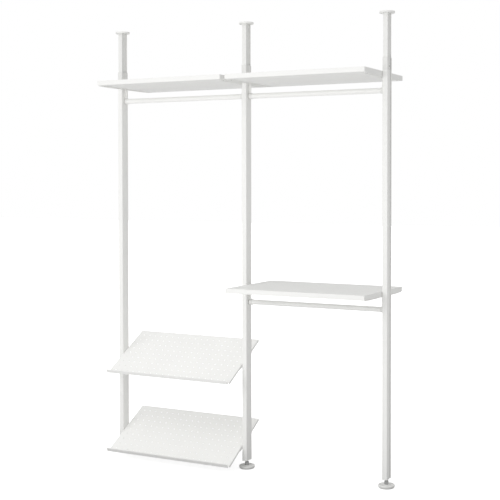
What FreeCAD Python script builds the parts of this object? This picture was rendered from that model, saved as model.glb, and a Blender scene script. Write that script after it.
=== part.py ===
import FreeCAD, Part
import math
import os

# Open wardrobe on three floor-to-ceiling posts, in millimetres.
# X runs along the two bays, -Y is the open front, +Z is up.
# The origin is on the floor under the middle post.

Vector = FreeCAD.Vector
ALONG_X = Vector(1, 0, 0)
ALONG_Y = Vector(0, 1, 0)
ALONG_Z = Vector(0, 0, 1)
PARALLEL = 1e-6            # sine of the angle below which two directions count as one
OVERRUN = 2.0              # how far a cutting shape runs past what it cuts
BAY_ENDS = ("left", "right")

# Overall sizes
bay_pitch = 830.0          # post centre to post centre
ceiling_height = 2450.0
upper_rise = 1030.0        # how far an upper post slides up from here

# Lower posts: a rectangular section with a bracket track in each side
post_width = 29.0
post_depth = 57.0
post_wall = 1.5
post_corner = 2.0
post_bottom = 45.0
post_above_shelf = 67.0    # from the top shelves up to the end of the lower posts
track_y = 11.0
track_mouth = 13.0
track_pocket = 17.0
track_lip = 1.5
track_depth = 5.0
track_wall = 1.2

# Upper posts, which telescope in the lower ones
upper_depth = 49.0
upper_wall = 1.5
upper_flange = 3.0
slide_clearance = 0.3
track_clearance = 0.5
least_overlap = 100.0
collar_rim = 4.0
collar_skirt = 40.0
shoe_height = 30.0
shoe_floor = 3.0
lock_y = -9.0
lock_below_top = 43.0
lock_plate_width = 10.0
lock_plate_height = 22.0
lock_plate_thickness = 2.0
lock_screw_across = 6.0
lock_head_across = 8.0
lock_head_height = 2.2

# Discs on the ceiling and feet on the floor
disc_radius = 40.0
disc_thickness = 9.0
plug_length = 220.0         # the housing of the spring that presses the disc up
foot_radius = 43.0
foot_thickness = 17.0
stem_radius = 5.0
stem_top = 160.0
nut_across = 19.0
nut_top = 36.0
insert_height = 30.0
thread_clearance = 0.1

# Shelves
shelf_depth = 510.0
shelf_thickness = 26.0
shelf_end_gap = 0.5
shelf_edge = 1.0
top_shelf_drop = 305.0     # from the ceiling down to the top of the top shelves
middle_shelf_height = 1017.0

# Shelf brackets, folded from sheet
arm_length = 480.0
arm_width = 20.0
arm_height = 4.5
arm_sheet = 1.5
arm_tip_height = 2.5
arm_tip_length = 60.0
drop_sheet = 2.0
drop_front = 0.0
drop_depth = 24.5
drop_below_rail = 12.0
drop_corner = 6.0
drop_flange_width = 13.0
first_bolt_drop = 20.0      # from the underside of the shelf to the upper bolt
bolt_pitch = 26.0

# Clothes rails and their holders
rail_radius = 14.0
rail_wall = 1.2
rail_y = 7.0
rail_drop = 71.0
rail_fit = 0.2
cup_wall = 1.8
cup_floor = 1.5

# Clamps: a bar behind the lips of the track, two square-necked bolts and their nuts
seat_clearance = 0.2        # round pieces that are pushed or bolted into others
clamp_bar_thickness = 3.0
clamp_bar_play = 0.4
clamp_bar_overhang = 8.0
bolt_side = 5.0
bolt_nut_side = 9.0
bolt_nut_height = 3.0

# Strips that close the tracks beside the bays, from one clamp bar to the next
cover_flange = 1.0
cover_play = 0.1
cover_end_gap = 1.0

# Tilted shoe shelves of perforated sheet
shoe_sheet = 1.2
shoe_tilt = 30.4
shoe_slope = 392.0
shoe_back_y = 160.0
upper_shoe_back = 690.0    # height of the back edge
lower_shoe_back = 240.0
shoe_lip = 26.0
shoe_hem = 7.0
shoe_side_flange = 12.0
shoe_rear_flange = 10.0
shoe_relief = 14.0
hole_pitch = 40.0
hole_side = 5.3
shoe_arm_length = 150.0
shoe_arm_width = 15.0
shoe_arm_depth = 18.0
shoe_arm_sheet = 2.0
shoe_arm_clearance = 0.2
shoe_tab_drop = 74.0
shoe_tab_depth = 24.0
lowest_bolt_rise = 12.0       # from the tab's lower end
shoe_hook_spacing = 100.0
shoe_hook_length = 10.0
shoe_hook_width = 4.0
shoe_hook_offset = 6.0
shoe_hook_rise = 2.5

# Places worked out from the sizes above
post_places = {"left": -bay_pitch, "middle": 0.0, "right": bay_pitch}
bay_centres = {"left": -bay_pitch / 2, "right": bay_pitch / 2}
bay_clear = bay_pitch - post_width
shelf_width = bay_clear - 2 * shelf_end_gap
half_post = post_width / 2
half_depth = post_depth / 2
track_reach = half_post - track_depth - track_wall
track_outer = track_pocket + 2 * track_wall
upper_width = post_width - 2 * post_wall - 2 * slide_clearance
web_half_width = track_reach - track_clearance
channel_front = -upper_depth / 2 + upper_flange
channel_back = track_y + track_outer / 2 + track_clearance
top_shelf_height = ceiling_height - top_shelf_drop
post_top = top_shelf_height + post_above_shelf
collar_top = post_top + collar_rim
upper_top = ceiling_height - disc_thickness
upper_bottom = collar_top - least_overlap - upper_rise
lock_height = post_top - lock_below_top
cup_radius = rail_radius + rail_fit + cup_wall
bolt_hole_side = bolt_side + 2 * seat_clearance
shelf_bolt_heights = [-first_bolt_drop - bolt_pitch, -first_bolt_drop]
shoe_web_x = shelf_end_gap + shoe_sheet + shoe_arm_clearance
shoe_web_face = shoe_web_x + shoe_arm_sheet


def box(x0, x1, y0, y1, z0, z1):
    return Part.makeBox(x1 - x0, y1 - y0, z1 - z0, Vector(x0, y0, z0))


def rod(radius, start, direction, length):
    return Part.makeCylinder(radius, length, start, direction)


def prism(points, direction):
    wire = Part.makePolygon(points + points[:1])
    return Part.Face(wire).extrude(direction)


def polygon_bar(sides, across, centre, direction, height):
    """A regular prism, measured across its flats."""
    corner_radius = across / 2 / math.cos(math.pi / sides)
    sideways = ALONG_Y if direction == ALONG_X else ALONG_X
    other = direction.cross(sideways)
    corners = []
    for k in range(sides):
        angle = (2 * k + 1) * math.pi / sides
        corners.append(centre + sideways * (corner_radius * math.cos(angle))
                       + other * (corner_radius * math.sin(angle)))
    return prism(corners, direction * height)


def moved(shape, x=0, y=0, z=0):
    copy = shape.copy()
    copy.translate(Vector(x, y, z))
    return copy


def flipped(shape):
    return shape.mirror(Vector(0, 0, 0), ALONG_X)


def joined(shapes):
    return shapes[0].fuse(shapes[1:]).removeSplitter()


def edges_along(shape, direction):
    """The straight edges of a shape that run along a direction."""
    return [edge for edge in shape.Edges
            if edge.tangentAt(edge.FirstParameter).cross(direction).Length < PARALLEL]


def bevelled_bar(width, depth, corner, z0, z1):
    bar = box(-width / 2, width / 2, -depth / 2, depth / 2, z0, z1)
    return bar.makeChamfer(corner, edges_along(bar, ALONG_Z))


def notched_bar(half_width, half_length, notch_floor, notch_front, notch_back, z0, z1):
    """A bar with a notch along each side, where the bracket tracks run."""
    bar = box(-half_width, half_width, -half_length, half_length, z0, z1)
    notches = []
    for near, far in ((notch_floor, half_width + OVERRUN), (-half_width - OVERRUN, -notch_floor)):
        notches.append(box(near, far, notch_front, notch_back, z0 - OVERRUN, z1 + OVERRUN))
    return bar.cut(notches)


def track_cut(z0, z1):
    """The undercut track in the +X side of a post."""
    mouth = box(half_post - track_depth, half_post + OVERRUN,
                track_y - track_mouth / 2, track_y + track_mouth / 2, z0, z1)
    pocket = box(half_post - track_depth, half_post - track_lip,
                 track_y - track_pocket / 2, track_y + track_pocket / 2, z0, z1)
    return mouth.fuse(pocket)


def lock_bore(x0, x1):
    return polygon_bar(6, lock_screw_across + 2 * seat_clearance,
                       Vector(x0, lock_y, lock_height), ALONG_X, x1 - x0)


def lower_post():
    body = bevelled_bar(post_width, post_depth, post_corner, post_bottom, post_top)
    hollow = notched_bar(half_post - post_wall, half_depth - post_wall, track_reach,
                         track_y - track_outer / 2, track_y + track_outer / 2,
                         post_bottom - OVERRUN, post_top + OVERRUN)
    track = track_cut(post_bottom - OVERRUN, post_top + OVERRUN)
    lock_hole = lock_bore(half_post - post_wall - OVERRUN, half_post + OVERRUN)
    return body.cut([hollow, track, flipped(track), lock_hole])


def upper_post():
    """A flange at the front and back of a hollow web, which clears the tracks."""
    body = notched_bar(upper_width / 2, upper_depth / 2, web_half_width,
                       channel_front, channel_back, upper_bottom, upper_top)
    hollow = box(upper_wall - web_half_width, web_half_width - upper_wall,
                 channel_front, channel_back, upper_bottom - OVERRUN, upper_top + OVERRUN)
    return body.cut(hollow)


def guide_collar():
    """The plastic mouth of a lower post: a rim, and two tongues that fill the gap."""
    rim = bevelled_bar(post_width, post_depth, post_corner, post_top, collar_top)
    tongues = box(-half_post + post_wall + slide_clearance, half_post - post_wall - slide_clearance,
                  -half_depth + post_wall + seat_clearance, half_depth - post_wall - seat_clearance,
                  post_top - collar_skirt, post_top)
    opening = box(-half_post + post_wall, half_post - post_wall,
                  -upper_depth / 2 - slide_clearance, upper_depth / 2 + slide_clearance,
                  post_top - collar_skirt - OVERRUN, collar_top + OVERRUN)
    tongue_gap = box(-half_post, half_post,
                     -upper_depth / 2 - slide_clearance, upper_depth / 2 + slide_clearance,
                     post_top - collar_skirt - OVERRUN, post_top)
    return rim.cut(opening).fuse(tongues.cut(tongue_gap)).removeSplitter()


def plug(z0, z1):
    """A block that fills the hollow of an upper post."""
    half_width = web_half_width - upper_wall - seat_clearance
    return box(-half_width, half_width,
               channel_front + seat_clearance, channel_back - seat_clearance, z0, z1)


def guide_shoe():
    """The slider on the foot of an upper post, with a plug up inside it."""
    floor = notched_bar(upper_width / 2, half_depth - post_wall - slide_clearance, web_half_width,
                        track_y - track_outer / 2 - track_clearance, channel_back,
                        upper_bottom - shoe_floor, upper_bottom)
    return joined([floor, plug(upper_bottom, upper_bottom + shoe_height)])


def lock_plate():
    plate = box(half_post, half_post + lock_plate_thickness,
                lock_y - lock_plate_width / 2, lock_y + lock_plate_width / 2,
                lock_height - lock_plate_height / 2, lock_height + lock_plate_height / 2)
    return plate.cut(lock_bore(half_post - OVERRUN, half_post + lock_plate_thickness + OVERRUN))


def lock_screw():
    """A clamp screw: its tip stops just short of the upper post's web."""
    tip = web_half_width + slide_clearance / 2
    seat = half_post + lock_plate_thickness
    shank = polygon_bar(6, lock_screw_across, Vector(tip, lock_y, lock_height),
                        ALONG_X, seat - tip)
    head = polygon_bar(6, lock_head_across, Vector(seat, lock_y, lock_height),
                       ALONG_X, lock_head_height)
    return joined([shank, head])


def ceiling_disc():
    """A pressure disc with a plug down into the upper post."""
    disc = rod(disc_radius, Vector(0, 0, upper_top), ALONG_Z, disc_thickness)
    return joined([disc, plug(upper_top - plug_length, upper_top)])


def foot_disc():
    return rod(foot_radius, Vector(0, 0, 0), ALONG_Z, foot_thickness)


def foot_stem():
    """A threaded rod with the hexagon that a spanner turns."""
    shank = rod(stem_radius, Vector(0, 0, foot_thickness), ALONG_Z, stem_top - foot_thickness)
    nut = polygon_bar(6, nut_across, Vector(0, 0, foot_thickness), ALONG_Z,
                      nut_top - foot_thickness)
    return joined([shank, nut])


def foot_insert():
    """The threaded block pressed into the bottom of a lower post."""
    half_width = track_reach - seat_clearance
    half_length = half_depth - post_wall - seat_clearance
    block = box(-half_width, half_width, -half_length, half_length,
                post_bottom, post_bottom + insert_height)
    bore = polygon_bar(6, 2 * stem_radius + 2 * thread_clearance,
                       Vector(0, 0, post_bottom - OVERRUN), ALONG_Z, insert_height + 2 * OVERRUN)
    return block.cut(bore)


def shelf():
    """A board between two posts, its top face at z = 0."""
    board = box(-shelf_width / 2, shelf_width / 2, -shelf_depth / 2, shelf_depth / 2,
                -shelf_thickness, 0)
    return board.makeChamfer(shelf_edge, edges_along(board, ALONG_X))


# A shelf bracket is drawn at the left end of a bay: x = 0 on the post's face,
# z = 0 on the underside of the shelf.

def arm_flange(x):
    half = arm_length / 2
    points = [Vector(x, -half, 0), Vector(x, half, 0), Vector(x, half, -arm_tip_height),
              Vector(x, half - arm_tip_length, -arm_height),
              Vector(x, -half + arm_tip_length, -arm_height), Vector(x, -half, -arm_tip_height)]
    return prism(points, ALONG_X * arm_sheet)


def drop_plate():
    back = drop_front + drop_depth
    bottom = -rail_drop - drop_below_rail
    points = [Vector(0, drop_front, 0), Vector(0, back, 0), Vector(0, back, bottom + drop_corner),
              Vector(0, back - drop_corner, bottom), Vector(0, drop_front + drop_corner, bottom),
              Vector(0, drop_front, bottom + drop_corner)]
    return prism(points, ALONG_X * drop_sheet)


def square_bar(side, x0, x1, z):
    """A square bar along X on the line of the track."""
    return box(x0, x1, track_y - side / 2, track_y + side / 2, z - side / 2, z + side / 2)


def bolt_holes(heights, reach):
    """Square holes for the necks of the clamp bolts, through to x = reach."""
    return [square_bar(bolt_hole_side, -OVERRUN, reach + OVERRUN, z) for z in heights]


def shelf_bracket():
    flange_bottom = -rail_drop + cup_radius + cup_wall
    pieces = [box(0, arm_width, -arm_length / 2, arm_length / 2, -arm_sheet, 0),
              arm_flange(0),
              arm_flange(arm_width - arm_sheet),
              drop_plate(),
              box(0, drop_flange_width, drop_front, drop_front + drop_sheet, flange_bottom, 0)]
    return joined(pieces).cut(bolt_holes(shelf_bolt_heights, drop_sheet))


def rail_holder():
    """A moulded cup on the drop. Eight flats in it hold the rail's end."""
    cup = rod(cup_radius, Vector(drop_sheet, rail_y, -rail_drop), ALONG_X, arm_width - drop_sheet)
    bore = polygon_bar(8, 2 * rail_radius + 2 * rail_fit,
                       Vector(drop_sheet + cup_floor, rail_y, -rail_drop),
                       ALONG_X, arm_width - drop_sheet)
    return cup.cut(bore)


def clothes_rail():
    start = -bay_clear / 2 + drop_sheet + cup_floor + rail_fit
    length = -2 * start
    tube = rod(rail_radius, Vector(start, rail_y, 0), ALONG_X, length)
    bore = rod(rail_radius - rail_wall, Vector(start - OVERRUN, rail_y, 0), ALONG_X,
               length + 2 * OVERRUN)
    return tube.cut(bore)


def clamp_bar_span(heights):
    return min(heights) - clamp_bar_overhang, max(heights) + clamp_bar_overhang


def track_clamp(heights, face):
    """The bar in the track, and bolts through a bracket whose inner side is at x = face."""
    half_bar = track_pocket / 2 - clamp_bar_play
    low, high = clamp_bar_span(heights)
    pieces = [box(-track_lip - clamp_bar_thickness, -track_lip,
                  track_y - half_bar, track_y + half_bar, low, high)]
    for z in heights:
        pieces.append(square_bar(bolt_side, -track_lip, face, z))
        pieces.append(square_bar(bolt_nut_side, face, face + bolt_nut_height, z))
    return joined(pieces)


def track_cover(z0, z1):
    """A strip flush in the track's mouth, held by a flange behind the lips."""
    half_strip = track_mouth / 2 - cover_play
    half_flange = track_pocket / 2 - clamp_bar_play
    return joined([box(-track_lip, 0, track_y - half_strip, track_y + half_strip, z0, z1),
                   box(-track_lip - cover_flange, -track_lip,
                       track_y - half_flange, track_y + half_flange, z0, z1)])


# A shoe shelf is drawn flat, its back edge along X at y = 0 and its top face at z = 0,
# and then tipped down to the front.

def tipped(shape, back_height):
    copy = shape.copy()
    copy.rotate(Vector(0, 0, 0), ALONG_X, shoe_tilt)
    copy.translate(Vector(0, shoe_back_y, back_height))
    return copy


def slope_at(y):
    """How far down the sheet a point at this y lies."""
    return (shoe_back_y - y) / math.cos(math.radians(shoe_tilt))


def shoe_hook_places():
    middle = -slope_at(track_y)
    return [middle - shoe_hook_spacing / 2, middle + shoe_hook_spacing / 2]


def shoe_holes():
    columns = int((shelf_width - hole_pitch) // hole_pitch)
    rows = int((shoe_slope - hole_pitch / 2) // hole_pitch)
    first_x = -(columns - 1) * hole_pitch / 2
    holes = []
    for row in range(rows):
        for column in range(columns):
            x = first_x + column * hole_pitch
            y = -(row + 1) * hole_pitch
            holes.append(box(x - hole_side / 2, x + hole_side / 2,
                             y - hole_side / 2, y + hole_side / 2,
                             -shoe_sheet - OVERRUN, OVERRUN))
    return holes


def hook_slots():
    slots = []
    half_slot = shoe_hook_length / 2 + shoe_arm_clearance
    for side in (-1, 1):
        inner = side * (bay_clear / 2 - shoe_hook_offset - shoe_hook_width - shoe_arm_clearance)
        outer = side * (bay_clear / 2 - shoe_hook_offset + shoe_arm_clearance)
        for y in shoe_hook_places():
            slots.append(box(min(inner, outer), max(inner, outer), y - half_slot, y + half_slot,
                             -shoe_sheet - OVERRUN, OVERRUN))
    return slots


def shoe_shelf():
    """Perforated sheet with a hemmed front lip and flanges on the other sides."""
    half = shelf_width / 2
    sheet = box(-half, half, -shoe_slope, 0, -shoe_sheet, 0)
    lip = box(-half, half, -shoe_slope, -shoe_slope + shoe_sheet, -shoe_sheet, shoe_lip)
    hem = box(-half, half, -shoe_slope - shoe_sheet, -shoe_slope, shoe_lip - shoe_hem, shoe_lip)
    rear = box(-half, half, -shoe_sheet, 0, -shoe_rear_flange, 0)
    pieces = [sheet, lip, hem, rear]
    for x0, x1 in ((-half, -half + shoe_sheet), (half - shoe_sheet, half)):
        pieces.append(box(x0, x1, -shoe_slope + shoe_relief, -shoe_sheet, -shoe_side_flange, 0))
    return joined(pieces).cut(shoe_holes() + hook_slots())


def shoe_bracket(back_height):
    """A sloped angle under the sheet's end on a tab that clamps to the track."""
    middle = -slope_at(track_y)
    front, back = middle - shoe_arm_length / 2, middle + shoe_arm_length / 2
    pieces = [box(shoe_web_x, shoe_web_x + shoe_arm_width, front, back,
                  -shoe_sheet - shoe_arm_sheet, -shoe_sheet),
              box(shoe_web_x, shoe_web_face, front, back,
                  -shoe_sheet - shoe_arm_depth, -shoe_sheet)]
    for y in shoe_hook_places():
        pieces.append(box(shoe_hook_offset, shoe_hook_offset + shoe_hook_width,
                          y - shoe_hook_length / 2, y + shoe_hook_length / 2,
                          -shoe_sheet, shoe_hook_rise))
    arm = tipped(joined(pieces), back_height)
    clear_of_flange = tipped(box(-OVERRUN, shoe_arm_width + OVERRUN, -shoe_slope, 0,
                                 -shoe_side_flange - shoe_arm_clearance, shoe_slope), back_height)
    centre_height = back_height - slope_at(track_y) * math.sin(math.radians(shoe_tilt))
    tab = box(0, shoe_web_face,
              track_y - shoe_tab_depth / 2, track_y + shoe_tab_depth / 2,
              centre_height - shoe_tab_drop, centre_height)
    return joined([arm, tab.cut(clear_of_flange)]).cut(
        bolt_holes(shoe_bolt_heights(back_height), shoe_web_face))


def shoe_bolt_heights(back_height):
    centre_height = back_height - slope_at(track_y) * math.sin(math.radians(shoe_tilt))
    lowest = centre_height - shoe_tab_drop + lowest_bolt_rise
    return [lowest, lowest + bolt_pitch]


def at_bay_end(shape, bay, end, z=0):
    """Puts a shape drawn for a left bay end at either end of a bay."""
    face = bay_clear / 2
    placed = moved(shape, -face) if end == "left" else moved(flipped(shape), face)
    return moved(placed, bay_centres[bay], 0, z)


top_underside = top_shelf_height - shelf_thickness
middle_underside = middle_shelf_height - shelf_thickness
shelves = {"top_left": ("left", top_underside), "top_right": ("right", top_underside),
           "middle": ("right", middle_underside)}
shoe_shelves = {"upper": upper_shoe_back, "lower": lower_shoe_back}


def post_nodes():
    nodes = {}
    makers = {"lower_post": lower_post(), "upper_post": upper_post(),
              "guide_collar": guide_collar(), "guide_shoe": guide_shoe(),
              "ceiling_disc": ceiling_disc(), "foot_insert": foot_insert(),
              "foot_stem": foot_stem(), "foot_disc": foot_disc()}
    for name, shape in makers.items():
        for place, x in post_places.items():
            nodes[name + "_" + place] = moved(shape, x)
    plates = [moved(lock_plate(), x) for x in post_places.values()]
    screws = [moved(lock_screw(), x) for x in post_places.values()]
    nodes["lock_plates"] = Part.makeCompound(plates)
    nodes["lock_screws"] = Part.makeCompound(screws)
    return nodes


def shelf_nodes():
    nodes = {}
    bracket, holder, board, rail = shelf_bracket(), rail_holder(), shelf(), clothes_rail()
    for name, (bay, underside) in shelves.items():
        nodes["shelf_" + name] = moved(board, bay_centres[bay], 0, underside + shelf_thickness)
        nodes["clothes_rail_" + name] = moved(rail, bay_centres[bay], 0, underside - rail_drop)
        holders = [at_bay_end(holder, bay, end, underside) for end in BAY_ENDS]
        nodes["rail_holders_" + name] = Part.makeCompound(holders)
        for end in BAY_ENDS:
            nodes["shelf_bracket_" + name + "_" + end] = at_bay_end(bracket, bay, end, underside)
    return nodes


def shoe_nodes():
    nodes = {}
    for name, back_height in shoe_shelves.items():
        nodes["shoe_shelf_" + name] = moved(tipped(shoe_shelf(), back_height), bay_centres["left"])
        for end in BAY_ENDS:
            nodes["shoe_bracket_" + name + "_" + end] = at_bay_end(shoe_bracket(back_height),
                                                                  "left", end)
    return nodes


def clamp_rows(bay):
    """The bolt heights of each clamp on a bay's tracks, and the face its nuts sit on."""
    rows = []
    for shelf_bay, underside in shelves.values():
        if shelf_bay == bay:
            rows.append(([underside + z for z in shelf_bolt_heights], drop_sheet))
    if bay == "left":
        for back_height in shoe_shelves.values():
            rows.append((shoe_bolt_heights(back_height), shoe_web_face))
    return sorted(rows)


def cover_spans(bay):
    """The stretches of a bay's tracks between the clamps."""
    spans = []
    start = post_bottom
    for heights, face in clamp_rows(bay):
        low, high = clamp_bar_span(heights)
        spans.append((start, low - cover_end_gap))
        start = high + cover_end_gap
    return spans + [(start, post_top)]


def track_nodes():
    clamps, covers = [], []
    for bay in bay_centres:
        for end in BAY_ENDS:
            for heights, face in clamp_rows(bay):
                clamps.append(at_bay_end(track_clamp(heights, face), bay, end))
            for z0, z1 in cover_spans(bay):
                covers.append(at_bay_end(track_cover(z0, z1), bay, end))
    return {"track_clamps": Part.makeCompound(clamps), "track_covers": Part.makeCompound(covers)}


def build():
    nodes = {}
    for group in (post_nodes(), shelf_nodes(), shoe_nodes(), track_nodes()):
        nodes.update(group)
    os.makedirs("parts", exist_ok=True)
    for name, shape in nodes.items():
        shape.exportStep("parts/" + name + ".step")
    print(len(nodes), "nodes")
    return nodes


build()
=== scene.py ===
import bpy
import bmesh
import math
from mathutils import Matrix, Vector


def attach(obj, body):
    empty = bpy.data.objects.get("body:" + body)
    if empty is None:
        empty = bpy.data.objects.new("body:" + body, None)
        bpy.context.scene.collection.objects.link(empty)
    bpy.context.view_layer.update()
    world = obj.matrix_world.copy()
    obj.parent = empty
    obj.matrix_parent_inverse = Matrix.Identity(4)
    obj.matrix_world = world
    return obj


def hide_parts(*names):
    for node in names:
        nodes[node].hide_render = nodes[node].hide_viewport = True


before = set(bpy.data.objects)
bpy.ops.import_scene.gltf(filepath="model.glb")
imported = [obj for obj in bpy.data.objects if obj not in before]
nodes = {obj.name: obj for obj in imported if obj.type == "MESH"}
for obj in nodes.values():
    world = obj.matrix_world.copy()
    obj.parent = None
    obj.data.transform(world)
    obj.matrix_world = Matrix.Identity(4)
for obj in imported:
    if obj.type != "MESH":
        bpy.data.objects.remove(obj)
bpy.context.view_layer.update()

# Sizes of the object in metres, the same as in its source
BAY_PITCH = 0.83
POST_WIDTH = 0.029
SHELF_THICKNESS = 0.026
SHELF_END_GAP = 0.0005
TOP_SHELF_HEIGHT = 2.145
MIDDLE_SHELF_HEIGHT = 1.017
ARM_SHEET = 0.0015
SHOE_BACK_Y = 0.16
SHOE_BACKS = {"upper": 0.69, "lower": 0.24}

# Places worked out from the sizes above
POSTS = {"left": -BAY_PITCH, "middle": 0.0, "right": BAY_PITCH}
BAYS = {"left": -BAY_PITCH / 2, "right": BAY_PITCH / 2}
HALF_BAY = (BAY_PITCH - POST_WIDTH) / 2
TOP_UNDERSIDE = TOP_SHELF_HEIGHT - SHELF_THICKNESS
MIDDLE_UNDERSIDE = MIDDLE_SHELF_HEIGHT - SHELF_THICKNESS
BOARDS = [("left", TOP_UNDERSIDE), ("right", TOP_UNDERSIDE), ("right", MIDDLE_UNDERSIDE)]


# Materials

def new_material(name):
    material = bpy.data.materials.new(name)
    material.use_nodes = True
    tree = material.node_tree
    return material, tree, tree.nodes["Principled BSDF"]


def noise(tree, scale, detail, stretch):
    place = tree.nodes.new("ShaderNodeTexCoord")
    mapping = tree.nodes.new("ShaderNodeMapping")
    mapping.inputs["Scale"].default_value = stretch
    texture = tree.nodes.new("ShaderNodeTexNoise")
    texture.inputs["Scale"].default_value = scale
    texture.inputs["Detail"].default_value = detail
    tree.links.new(place.outputs["Object"], mapping.inputs["Vector"])
    tree.links.new(mapping.outputs["Vector"], texture.inputs["Vector"])
    return texture.outputs["Fac"]


def ramp(tree, source, low, high):
    """Goes from one colour to the other. Low and high are pairs of a place and a colour."""
    node = tree.nodes.new("ShaderNodeValToRGB")
    for point, (where, colour) in zip(node.color_ramp.elements, (low, high)):
        point.position = where
        point.color = (*colour, 1)
    tree.links.new(source, node.inputs["Fac"])
    return node.outputs["Color"]


def spread(tree, source, low, high):
    node = tree.nodes.new("ShaderNodeMapRange")
    node.inputs["To Min"].default_value = low
    node.inputs["To Max"].default_value = high
    tree.links.new(source, node.inputs["Value"])
    return node.outputs["Result"]


def raised(tree, source, height):
    node = tree.nodes.new("ShaderNodeBump")
    node.inputs["Strength"].default_value = 1.0
    node.inputs["Distance"].default_value = height
    tree.links.new(source, node.inputs["Height"])
    return node.outputs["Normal"]


PATCH_DETAIL = 4.0
GRAIN_DETAIL = 2.0
DARK_PLACE = 0.3
LIGHT_PLACE = 0.7


def finish_of(name, light, dark, rough, patch, grain, relief, stretch=(1, 1, 1), metallic=0.0):
    """Broad patches vary the colour a little, and a fine grain varies the gloss and gives the relief."""
    material, tree, shader = new_material(name)
    broad = noise(tree, patch, PATCH_DETAIL, stretch)
    fine = noise(tree, grain, GRAIN_DETAIL, stretch)
    colour = ramp(tree, broad, (DARK_PLACE, dark), (LIGHT_PLACE, light))
    tree.links.new(colour, shader.inputs["Base Color"])
    tree.links.new(spread(tree, fine, *rough), shader.inputs["Roughness"])
    tree.links.new(raised(tree, fine, relief), shader.inputs["Normal"])
    shader.inputs["Metallic"].default_value = metallic
    return material


def grey(value):
    return (value, value, value)


BLUE_LOSS_SHARE = 0.02


def off_white(value):
    """A grey with a little less blue."""
    return (value, value, value * (1 - BLUE_LOSS_SHARE))


def shaded_above(material, height, fade, factor):
    """Makes a finish greyer above a height, as painted shade: on the posts, the shade above the top
    shelf.
    """
    tree = material.node_tree
    shader = tree.nodes["Principled BSDF"]
    source = shader.inputs["Base Color"].links[0].from_socket
    place = tree.nodes.new("ShaderNodeNewGeometry")
    split = tree.nodes.new("ShaderNodeSeparateXYZ")
    step = tree.nodes.new("ShaderNodeMapRange")
    step.inputs["From Min"].default_value = height
    step.inputs["From Max"].default_value = height + fade
    step.inputs["To Min"].default_value = 1.0
    step.inputs["To Max"].default_value = factor
    scale = tree.nodes.new("ShaderNodeVectorMath")
    scale.operation = "SCALE"
    tree.links.new(place.outputs["Position"], split.inputs["Vector"])
    tree.links.new(split.outputs["Z"], step.inputs["Value"])
    tree.links.new(source, scale.inputs[0])
    tree.links.new(step.outputs["Result"], scale.inputs["Scale"])
    tree.links.new(scale.outputs["Vector"], shader.inputs["Base Color"])
    return material


def powder_coat(name, light, dark, rough=(0.42, 0.52), patch=6.0, relief=0.00004):
    return finish_of(name, off_white(light), off_white(dark), rough, patch, grain=900.0, relief=relief)


def moulded(name, light, dark, rough=(0.4, 0.5), patch=25.0, relief=0.00002):
    return finish_of(name, off_white(light), off_white(dark), rough, patch, grain=1400.0, relief=relief)


# Painted shade on the lower posts above the top shelf, where the shelf keeps light off them
SHELF_SHADE_START = TOP_SHELF_HEIGHT + 0.002
SHELF_SHADE_FADE = 0.004
SHELF_SHADE_SHARE = 0.9

COAT = powder_coat("powder_coat", light=0.90, dark=0.885)
COAT_POST_PAINTED_SHADE = shaded_above(powder_coat("powder_coat_post_painted_shade", light=0.90, dark=0.885),
                         SHELF_SHADE_START, SHELF_SHADE_FADE, SHELF_SHADE_SHARE)
COAT_UPPER = powder_coat("powder_coat_upper", light=0.845, dark=0.83, rough=(0.34, 0.44))
COAT_SHEET = powder_coat("powder_coat_sheet", light=0.925, dark=0.91, rough=(0.45, 0.55), patch=5.0)
COAT_RAIL = powder_coat("powder_coat_rail", light=0.97, dark=0.955, rough=(0.3, 0.4), patch=5.0,
                        relief=0.00002)
FOIL = finish_of("board_foil", off_white(0.885), off_white(0.87), rough=(0.36, 0.5), patch=4.0,
                 grain=60.0, relief=0.00003, stretch=(1, 9, 9))
MOULDED = moulded("moulded_white", light=0.88, dark=0.865)
MOULDED_COLLAR = moulded("moulded_collar", light=0.81, dark=0.795)
MOULDED_GREY = moulded("moulded_grey", light=0.85, dark=0.825, rough=(0.4, 0.52), patch=30.0,
                       relief=0.00003)
ZINC = finish_of("zinc", grey(0.55), grey(0.47), rough=(0.35, 0.5), patch=60.0,
                 grain=900.0, relief=0.00002, stretch=(1, 1, 6), metallic=0.9)
SCREW = finish_of("screw_steel", grey(0.62), grey(0.5), rough=(0.3, 0.45), patch=300.0,
                  grain=1500.0, relief=0.00001, metallic=1.0)

# The longest name that a node starts with counts, in both tables
MATERIALS = {"lower_post": COAT_POST_PAINTED_SHADE, "upper_post": COAT_UPPER, "guide_collar": MOULDED_COLLAR,
             "guide_shoe": MOULDED_GREY, "ceiling_disc": MOULDED, "foot_insert": MOULDED_GREY,
             "foot_stem": ZINC, "foot_disc": MOULDED_GREY, "lock_plates": COAT,
             "lock_screws": SCREW, "shelf": FOIL, "shelf_bracket": COAT,
             "clothes_rail": COAT_RAIL, "rail_holders": MOULDED, "shoe_shelf": COAT_SHEET,
             "shoe_bracket": COAT, "track_clamps": COAT, "track_covers": MOULDED}
# The widths of the small rounded edges, in metres
EDGES = {"lower_post": 0.0004, "upper_post": 0.0006, "guide_collar": 0.0006, "ceiling_disc": 0.002,
         "shelf_bracket": 0.0004, "shelf": 0.0006, "rail_holders": 0.0005, "lock": 0.0005}
WELD_REACH = 0.00002
EDGE_SEGMENTS = 2
EDGE_ANGLE = math.radians(30)


def by_prefix(table, name):
    found = [key for key in table if name.startswith(key)]
    return table[max(found, key=len)] if found else None


def soften(obj, width):
    weld = obj.modifiers.new("weld", "WELD")
    weld.merge_threshold = WELD_REACH
    bevel = obj.modifiers.new("edges", "BEVEL")
    bevel.width = width
    bevel.segments = EDGE_SEGMENTS
    bevel.limit_method = "ANGLE"
    bevel.angle_limit = EDGE_ANGLE
    bevel.harden_normals = True


for name, obj in nodes.items():
    obj.data.materials.clear()
    obj.data.materials.append(by_prefix(MATERIALS, name))
    width = by_prefix(EDGES, name)
    if width:
        soften(obj, width)


# Mesh making

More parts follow.
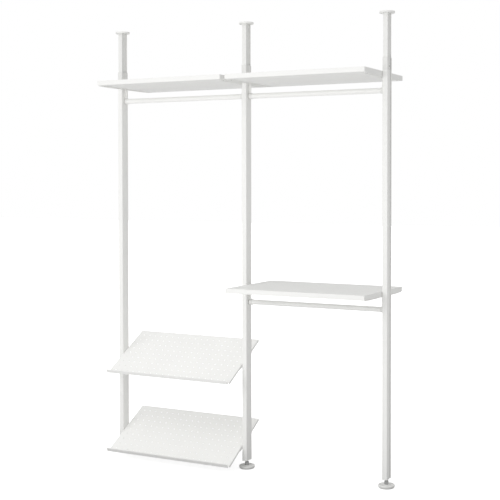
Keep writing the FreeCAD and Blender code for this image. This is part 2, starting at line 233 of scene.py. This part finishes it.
def piece(name, mesh, material, body, smooth=True):
    mesh.normal_update()
    data = bpy.data.meshes.new(name)
    mesh.to_mesh(data)
    mesh.free()
    for polygon in data.polygons:
        polygon.use_smooth = smooth
    obj = bpy.data.objects.new(name, data)
    bpy.context.scene.collection.objects.link(obj)
    data.materials.append(material)
    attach(obj, body)
    return obj


def turned(mesh, outline, where, axis, steps):
    """Adds a solid of revolution about axis from (radius, height) points."""
    turn = Vector((0, 0, 1)).rotation_difference(Vector(axis)).to_matrix()
    rings = []
    for radius, height in outline:
        ring = []
        for k in range(steps if radius else 1):
            angle = 2 * math.pi * k / steps
            spot = Vector((radius * math.cos(angle), radius * math.sin(angle), height))
            ring.append(mesh.verts.new(Vector(where) + turn @ spot))
        rings.append(ring)
    for low, high in zip(rings, rings[1:]):
        for k in range(steps):
            n = (k + 1) % steps
            corners = [low[k % len(low)], low[n % len(low)], high[n % len(high)], high[k % len(high)]]
            corners = list(dict.fromkeys(corners))
            if len(corners) > 2:
                mesh.faces.new(corners)
    return rings


# The perforated shoe shelves: one folded sheet each, drawn along its middle surface

# In a sheet's own frame X runs along the shelf, Y is 0 at the back edge and falls to the front,
# and Z is 0 on the upper face
TILT = math.radians(30.4)
SLOPE = 0.392
SHEET = 0.0012
BEND = 0.0018
BEND_STEPS = 4
LIP = 0.026
HEM = 0.007
SIDE_FLANGE = 0.012
REAR_FLANGE = 0.01
RELIEF = 0.014
HOLE_RADIUS = 0.0027
HOLE_PITCH = 0.04
COLUMNS = 19
ROWS = 9
TILE_STEPS = 4
HOLE_STEPS = 4 * TILE_STEPS
THICKNESS_SHARE = 0.98
CREASE_ANGLE = math.radians(40)

TILE_STEP = HOLE_PITCH / TILE_STEPS
FLAT = -SHEET / 2
HALF_SHELF = HALF_BAY - SHELF_END_GAP
FIELD_X = -COLUMNS * HOLE_PITCH / 2
FIELD_BACK = -HOLE_PITCH / 2
FIELD_FRONT = FIELD_BACK - ROWS * HOLE_PITCH
FRONT_LINE = -SLOPE + SHEET / 2 + BEND
BACK_LINE = -SHEET / 2 - BEND
SIDE_LINE = HALF_SHELF - SHEET / 2 - BEND
RELIEF_LINE = -SLOPE + RELIEF
TILE_LINES_X = [FIELD_X + k * TILE_STEP for k in range(TILE_STEPS * COLUMNS + 1)]
TILE_LINES_Y = [FIELD_BACK - k * TILE_STEP for k in range(TILE_STEPS * ROWS + 1)]


def sheet_point(x, y, z, back):
    spot = Matrix.Rotation(TILT, 4, "X") @ Vector((x, y, z))
    return spot + Vector((BAYS["left"], SHOE_BACK_Y, back))


def sheet_mesh(back):
    """Gives an empty mesh and the function that adds a face to it, from corners on the sheet."""
    mesh = bmesh.new()
    seen = {}

    def vert(x, y, z):
        key = (round(x, 6), round(y, 6), round(z, 6))
        if key not in seen:
            seen[key] = mesh.verts.new(sheet_point(x, y, z, back))
        return seen[key]

    def face(*corners):
        points = list(dict.fromkeys(vert(*corner) for corner in corners))
        if len(points) > 2:
            mesh.faces.new(points)

    return mesh, face


def bend_points(start, outward, upward):
    """The points of a right-angled bend that starts at the end of the flat."""
    points = []
    for k in range(1, BEND_STEPS + 1):
        angle = k * math.pi / 2 / BEND_STEPS
        points.append((start + outward * BEND * math.sin(angle),
                       FLAT + upward * BEND * (1 - math.cos(angle))))
    return points


def hem_points(start, top):
    """The points of the half turn at the top of the lip, which folds back by one thickness."""
    points = []
    for k in range(1, BEND_STEPS + 1):
        angle = k * math.pi / BEND_STEPS
        points.append((start - SHEET / 2 * (1 - math.cos(angle)), top + SHEET / 2 * math.sin(angle)))
    return points


def add_holes(face):
    """One square tile of sheet round each hole."""
    half = HOLE_PITCH / 2
    steps = [k * TILE_STEP for k in range(TILE_STEPS)]
    for row in range(ROWS):
        for column in range(COLUMNS):
            cx = FIELD_X + (column + 0.5) * HOLE_PITCH
            cy = -(row + 1) * HOLE_PITCH
            border = [(cx + half, cy - half + step) for step in steps]
            border += [(cx + half - step, cy + half) for step in steps]
            border += [(cx - half, cy + half - step) for step in steps]
            border += [(cx - half + step, cy - half) for step in steps]
            rim = []
            for k in range(HOLE_STEPS):
                angle = -math.pi / 4 + 2 * math.pi * k / HOLE_STEPS
                rim.append((cx + HOLE_RADIUS * math.cos(angle), cy + HOLE_RADIUS * math.sin(angle)))
            for k in range(HOLE_STEPS):
                n = (k + 1) % HOLE_STEPS
                face((*border[k], FLAT), (*border[n], FLAT), (*rim[n], FLAT), (*rim[k], FLAT))


def add_margins(face):
    """The plain sheet behind and in front of the holes."""
    for a, b in zip(TILE_LINES_X, TILE_LINES_X[1:]):
        face((a, FIELD_BACK, FLAT), (b, FIELD_BACK, FLAT), (b, BACK_LINE, FLAT), (a, BACK_LINE, FLAT))
        face((a, FIELD_FRONT, FLAT), (a, FRONT_LINE, FLAT), (b, FRONT_LINE, FLAT), (b, FIELD_FRONT, FLAT))


def add_sides(face):
    """The plain sheet beside the holes, and the side flanges, which end at the relief."""
    rows = sorted([BACK_LINE, RELIEF_LINE, FRONT_LINE] + TILE_LINES_Y, reverse=True)
    for side in (-1, 1):
        inner, outer = side * -FIELD_X, side * SIDE_LINE
        line = [(outer, FLAT)] + bend_points(outer, side, -1)
        line.append((line[-1][0], -SIDE_FLANGE))
        for a, b in zip(rows, rows[1:]):
            face((inner, a, FLAT), (outer, a, FLAT), (outer, b, FLAT), (inner, b, FLAT))
            if b >= RELIEF_LINE:
                for (x0, z0), (x1, z1) in zip(line, line[1:]):
                    face((x0, a, z0), (x1, a, z1), (x1, b, z1), (x0, b, z0))


def add_lip_and_rear(face):
    """The lip with its returned hem, which runs to the ends of the shelf, and the rear flange."""
    lip = [(FRONT_LINE, FLAT)] + bend_points(FRONT_LINE, -1, 1)
    lip_y = lip[-1][0]
    top = LIP - SHEET
    lip.append((lip_y, top))
    lip += hem_points(lip_y, top)
    lip.append((lip_y - SHEET, LIP - HEM))
    rear = [(BACK_LINE, FLAT)] + bend_points(BACK_LINE, 1, -1)
    rear.append((rear[-1][0], -REAR_FLANGE))
    across = [-SIDE_LINE] + TILE_LINES_X + [SIDE_LINE]
    for line in (lip, rear):
        for (y0, z0), (y1, z1) in zip(line, line[1:]):
            for a, b in zip(across, across[1:]):
                face((a, y0, z0), (b, y0, z0), (b, y1, z1), (a, y1, z1))
    for (y0, z0), (y1, z1) in zip(lip, lip[1:]):
        for side in (-1, 1):
            face((side * SIDE_LINE, y0, z0), (side * HALF_SHELF, y0, z0),
                 (side * HALF_SHELF, y1, z1), (side * SIDE_LINE, y1, z1))


def perforated_shelf(name, back):
    mesh, face = sheet_mesh(back)
    add_holes(face)
    add_margins(face)
    add_sides(face)
    add_lip_and_rear(face)
    bmesh.ops.recalc_face_normals(mesh, faces=mesh.faces[:])
    obj = piece(name, mesh, COAT_SHEET, "frame")
    thick = obj.modifiers.new("sheet", "SOLIDIFY")
    thick.thickness = SHEET * THICKNESS_SHARE
    thick.offset = 0
    split = obj.modifiers.new("creases", "EDGE_SPLIT")
    split.split_angle = CREASE_ANGLE
    return obj


for level, back in SHOE_BACKS.items():
    shelf_piece = perforated_shelf("perforated_shelf_" + level, back)
    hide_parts("shoe_shelf_" + level)


# Wood screws that hold the boards on the arms of their brackets

HEAD_RADIUS = 0.0032
HEAD_HEIGHT = 0.0018
HEAD_STEPS = 16
HEAD_OUTLINE_SHARES = [(1, 0), (1, 0.45), (0.86, 0.82), (0.55, 1)]
CROSS_REACH_SHARE = 0.5
CROSS_WAIST_SHARE = 0.17
CROSS_FLOOR_SHARE = 0.35
SCREW_INSET = 0.01
SCREW_YS = (-0.2, 0.2)


def screw_heads(name, places, axis):
    """Pan heads with a cross recess."""
    mesh = bmesh.new()
    outline = [(r * HEAD_RADIUS, h * HEAD_HEIGHT) for r, h in HEAD_OUTLINE_SHARES]
    turn = Vector((0, 0, 1)).rotation_difference(Vector(axis)).to_matrix()
    for where in places:
        rim = turned(mesh, outline, where, axis, HEAD_STEPS)[-1]
        recess = []
        for k in range(HEAD_STEPS):
            angle = 2 * math.pi * k / HEAD_STEPS
            reach = HEAD_RADIUS * (CROSS_WAIST_SHARE if k % 4 else CROSS_REACH_SHARE)
            spot = Vector((reach * math.cos(angle), reach * math.sin(angle),
                           CROSS_FLOOR_SHARE * HEAD_HEIGHT))
            recess.append(mesh.verts.new(Vector(where) + turn @ spot))
        for k in range(HEAD_STEPS):
            n = (k + 1) % HEAD_STEPS
            mesh.faces.new([rim[k], rim[n], recess[n], recess[k]])
        mesh.faces.new(recess)
    return piece(name, mesh, SCREW, "frame", smooth=False)


arm_places = []
for bay, underside in BOARDS:
    for side in (-1, 1):
        face_x = BAYS[bay] + side * HALF_BAY
        for y in SCREW_YS:
            arm_places.append((face_x - side * SCREW_INSET, y, underside - ARM_SHEET))
screw_heads("shelf_screws", arm_places, (0, 0, -1))


# Feet: a thick moulded disc with a raised rim and a boss under the spanner hexagon

# Radius and height in metres, from the underside round the rim to the top of the boss
FOOT_OUTLINE = [(0, 0.0), (0.0355, 0.0), (0.038, 0.0006), (0.0405, 0.0028), (0.0421, 0.0062),
                (0.043, 0.0106), (0.043, 0.0138), (0.0425, 0.0156), (0.0412, 0.0168),
                (0.0395, 0.017), (0.0378, 0.0163), (0.036, 0.0147), (0.031, 0.0138),
                (0.016, 0.0142), (0.0137, 0.0152), (0.013, 0.0164), (0.0122, 0.017), (0, 0.017)]
FOOT_STEPS = 64

for place, x in POSTS.items():
    mesh = bmesh.new()
    turned(mesh, FOOT_OUTLINE, (x, 0, 0), (0, 0, 1), FOOT_STEPS)
    pad = piece("foot_pad_" + place, mesh, MOULDED_GREY, "foot_" + place)
    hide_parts("foot_disc_" + place)

# Camera, fitted to the photo, whose centre lies off the lens's axis

CAMERA_PLACE = (2.82184, -4.87937, 1.572)
CAMERA_PITCH = math.radians(88.611)
CAMERA_TURN = math.radians(26.126)
SENSOR_WIDTH = 36
LENS = 73.76
SHIFT_X = -0.1334
SHIFT_Y = -0.0839

scene = bpy.context.scene
camera_data = bpy.data.cameras.new("camera")
camera = bpy.data.objects.new("camera", camera_data)
scene.collection.objects.link(camera)
scene.camera = camera
camera.location = CAMERA_PLACE
camera.rotation_euler = (CAMERA_PITCH, 0, CAMERA_TURN)
camera_data.sensor_width = SENSOR_WIDTH
camera_data.lens = LENS
camera_data.shift_x = SHIFT_X
camera_data.shift_y = SHIFT_Y

# Floor and surroundings, both white to the camera

FLOOR_SIZE = 30
NEAR_ALBEDO = 0.5
FAR_ALBEDO = 0.93
NEAR_DEPTH = 0.1
FAR_DEPTH = 0.7
FLOOR_ROUGHNESS = 0.9
FLOOR_GLOW = 0.78
AMBIENT = 0.603


# Painted shade: the floor's colour is darker in a strip under the object and stands for its shadow, so
# less light comes up from the floor onto the lower ends of the posts
def floor_albedo_painted_shade(tree):
    """Greyer in a strip under the posts, so that their lower ends are as dark as in the photo."""
    place = tree.nodes.new("ShaderNodeNewGeometry")
    split = tree.nodes.new("ShaderNodeSeparateXYZ")
    depth = tree.nodes.new("ShaderNodeMath")
    depth.operation = "ABSOLUTE"
    albedo = tree.nodes.new("ShaderNodeMapRange")
    albedo.inputs["From Min"].default_value = NEAR_DEPTH
    albedo.inputs["From Max"].default_value = FAR_DEPTH
    albedo.inputs["To Min"].default_value = NEAR_ALBEDO
    albedo.inputs["To Max"].default_value = FAR_ALBEDO
    tree.links.new(place.outputs["Position"], split.inputs["Vector"])
    tree.links.new(split.outputs["Y"], depth.inputs[0])
    tree.links.new(depth.outputs["Value"], albedo.inputs["Value"])
    return albedo.outputs["Result"]


floor_mesh = bmesh.new()
bmesh.ops.create_grid(floor_mesh, x_segments=1, y_segments=1, size=FLOOR_SIZE)
floor_data = bpy.data.meshes.new("floor")
floor_mesh.to_mesh(floor_data)
floor_mesh.free()
floor = bpy.data.objects.new("floor", floor_data)
scene.collection.objects.link(floor)
floor_material, tree, shader = new_material("floor")
tree.links.new(floor_albedo_painted_shade(tree), shader.inputs["Base Color"])
shader.inputs["Roughness"].default_value = FLOOR_ROUGHNESS
shader.inputs["Specular IOR Level"].default_value = 0.0
shader.inputs["Emission Color"].default_value = (1, 1, 1, 1)
path = tree.nodes.new("ShaderNodeLightPath")
glow = tree.nodes.new("ShaderNodeMath")
glow.operation = "MULTIPLY"
glow.inputs[1].default_value = FLOOR_GLOW
tree.links.new(path.outputs["Is Camera Ray"], glow.inputs[0])
tree.links.new(glow.outputs[0], shader.inputs["Emission Strength"])
floor_data.materials.append(floor_material)
# The floor casts no shadow itself, so the surroundings below it also light the undersides
floor.visible_shadow = False

world = bpy.data.worlds.new("world")
scene.world = world
world.use_nodes = True
tree = world.node_tree
background = tree.nodes["Background"]
path = tree.nodes.new("ShaderNodeLightPath")
strength = tree.nodes.new("ShaderNodeMapRange")
strength.inputs["To Min"].default_value = AMBIENT
strength.inputs["To Max"].default_value = 1.0
tree.links.new(path.outputs["Is Camera Ray"], strength.inputs["Value"])
background.inputs["Color"].default_value = (1, 1, 1, 1)
tree.links.new(strength.outputs["Result"], background.inputs["Strength"])


# Lamps

def aimed(name, data, direction):
    """Adds a lamp that shines from this direction."""
    lamp = bpy.data.objects.new(name, data)
    scene.collection.objects.link(lamp)
    lamp.rotation_euler = Vector(direction).to_track_quat("Z", "Y").to_euler()
    return lamp


def sun(name, direction, strength, spread_degrees):
    data = bpy.data.lights.new(name, "SUN")
    data.energy = strength * math.pi
    data.angle = math.radians(spread_degrees)
    aimed(name, data, direction)


def panel(name, place, target, size, power):
    data = bpy.data.lights.new(name, "AREA")
    data.shape = "DISK"
    data.size = size
    data.energy = power
    lamp = aimed(name, data, Vector(place) - Vector(target))
    lamp.visible_camera = False
    lamp.location = place


sun("front_light", direction=(-0.2, -0.72, 0.6), strength=0.17, spread_degrees=60)
panel("front_panel", place=(-0.5, -3.2, 1.95), target=(0.0, 0.0, 1.5), size=1.5, power=21.5)
sun("top_light", direction=(0.0, -0.1, 1.0), strength=0.12, spread_degrees=80)

scene.view_settings.view_transform = "Standard"
